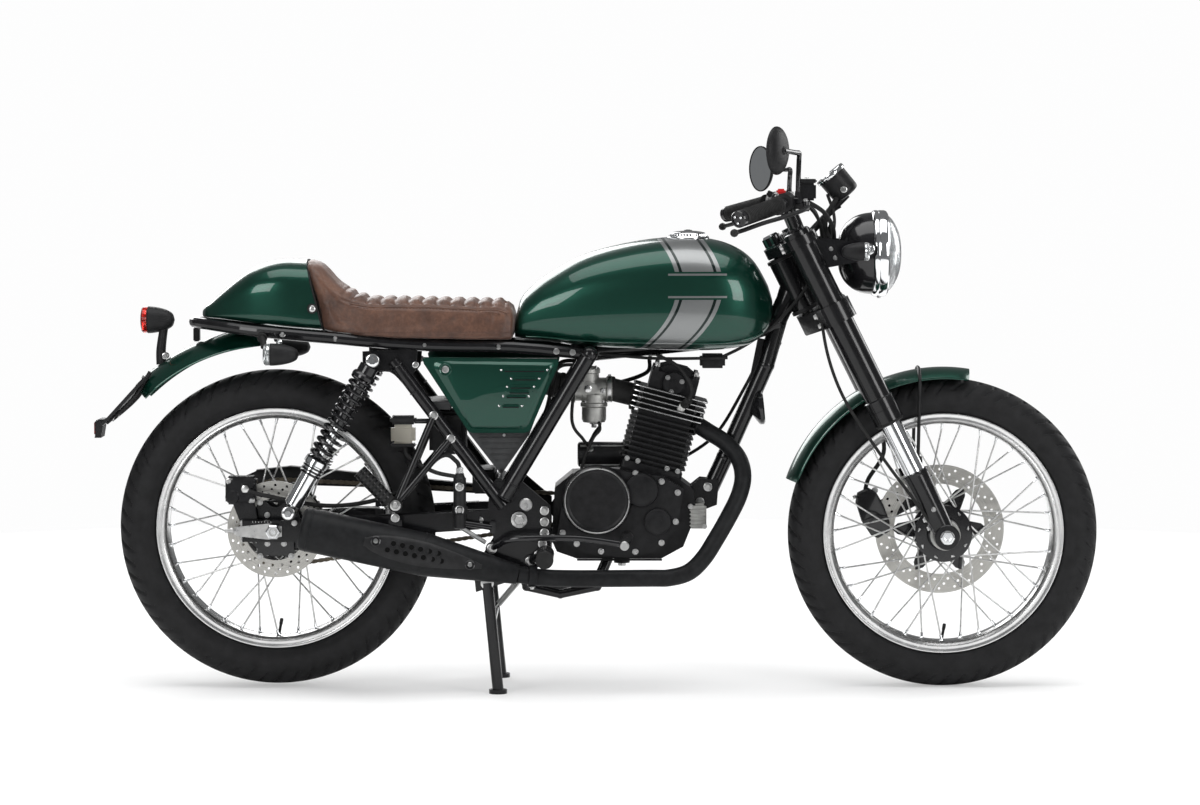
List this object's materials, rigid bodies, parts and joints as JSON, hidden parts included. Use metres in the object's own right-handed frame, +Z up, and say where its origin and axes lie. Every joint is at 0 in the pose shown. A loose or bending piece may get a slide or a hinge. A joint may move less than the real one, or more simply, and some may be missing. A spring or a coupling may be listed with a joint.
{
  "type": "cafe racer motorcycle",
  "caption": "Cafe racer motorcycle: steel cradle frame, air-cooled single, wire wheels, humped solo seat, low bars; standing on its centre stand.",
  "frame": {"origin": "on the floor, midway between the furthest points at the front and at the back, in the middle plane", "axes": "+X forward, +Y to the rider's left, +Z up"},
  "size_m": [2.007, 0.706, 1.12],
  "materials": {
    "frame_black": "satin black enamel",
    "gloss_black": "gloss black",
    "fork_black": "hard anodised black",
    "green_paint": "dark green metallic under clear lacquer",
    "seat_leather": "brown leather, tuck and roll",
    "chrome": "polished",
    "bright_steel": "brushed",
    "disc_steel": "ground",
    "engine_black": "black paint on castings",
    "carb_alloy": "bare casting",
    "exhaust_black": "matt black heat paint",
    "tyre": "black rubber",
    "rubber": "black rubber",
    "plastic": "black moulding",
    "airbox_grey": "dark grey moulding",
    "mirror_black": "black shell with a glass face",
    "lamp_black": "black shell with a clear or red lens",
    "chain_steel": "oiled steel"
  },
  "bodies": {
    "chassis": {"frame": "frame_black", "subframe": "frame_black", "swingarm": "frame_black", "rear_axle": "bright_steel", "shock_absorbers": "gloss_black", "crankcase": "engine_black", "cylinder_barrel": "engine_black", "engine_covers": "engine_black", "carburettor": "carb_alloy", "airbox": "airbox_grey", "exhaust_pipe": "exhaust_black", "muffler": "exhaust_black", "fuel_tank": "green_paint", "fuel_cap": "chrome", "seat": "seat_leather", "tail_cowl": "green_paint", "side_covers": "green_paint", "rear_fender": "green_paint", "tail_light": "lamp_black", "rear_indicators": "lamp_black", "plate_bracket": "plastic", "footpegs": "frame_black", "passenger_pegs": "frame_black", "foot_controls": "gloss_black", "rear_brake": "gloss_black", "chain": "chain_steel", "chain_guard": "plastic"},
    "steering": {"triple_clamps": "fork_black", "fork_tubes": "fork_black", "fork_legs": "chrome", "axle_clamps": "fork_black", "front_axle": "bright_steel", "handlebar": "gloss_black", "grips": "rubber", "hand_controls": "plastic", "mirrors": "mirror_black", "speedometer": "lamp_black", "headlight": "lamp_black", "front_indicators": "lamp_black", "front_fender": "green_paint", "front_caliper": "gloss_black"},
    "front_wheel": {"front_tyre": "tyre", "front_rim": "chrome", "front_spokes": "bright_steel", "front_hub": "gloss_black", "front_disc": "disc_steel"},
    "rear_wheel": {"rear_tyre": "tyre", "rear_rim": "chrome", "rear_spokes": "bright_steel", "rear_hub": "gloss_black", "rear_disc": "disc_steel"},
    "centre_stand": {"centre_stand": "frame_black"}
  },
  "joints": [
    {"name": "steer", "type": "hinge", "parent": "chassis", "child": "steering", "pos_m": [0.65233, 0, 0.28947], "axis": [-0.4462, 0, 0.8949], "range_deg": [-35, 35]},
    {"name": "front_wheel_spin", "type": "hinge", "parent": "steering", "child": "front_wheel", "pos_m": [0.6935, 0, 0.31], "axis": [0, 1, 0], "continuous": true},
    {"name": "rear_wheel_spin", "type": "hinge", "parent": "chassis", "child": "rear_wheel", "pos_m": [-0.6395, 0, 0.321], "axis": [0, 1, 0], "continuous": true},
    {"name": "centre_stand_fold", "type": "hinge", "parent": "chassis", "child": "centre_stand", "pos_m": [-0.2165, 0, 0.22], "axis": [0, 1, 0], "range_deg": [0, 88]}
  ]
}
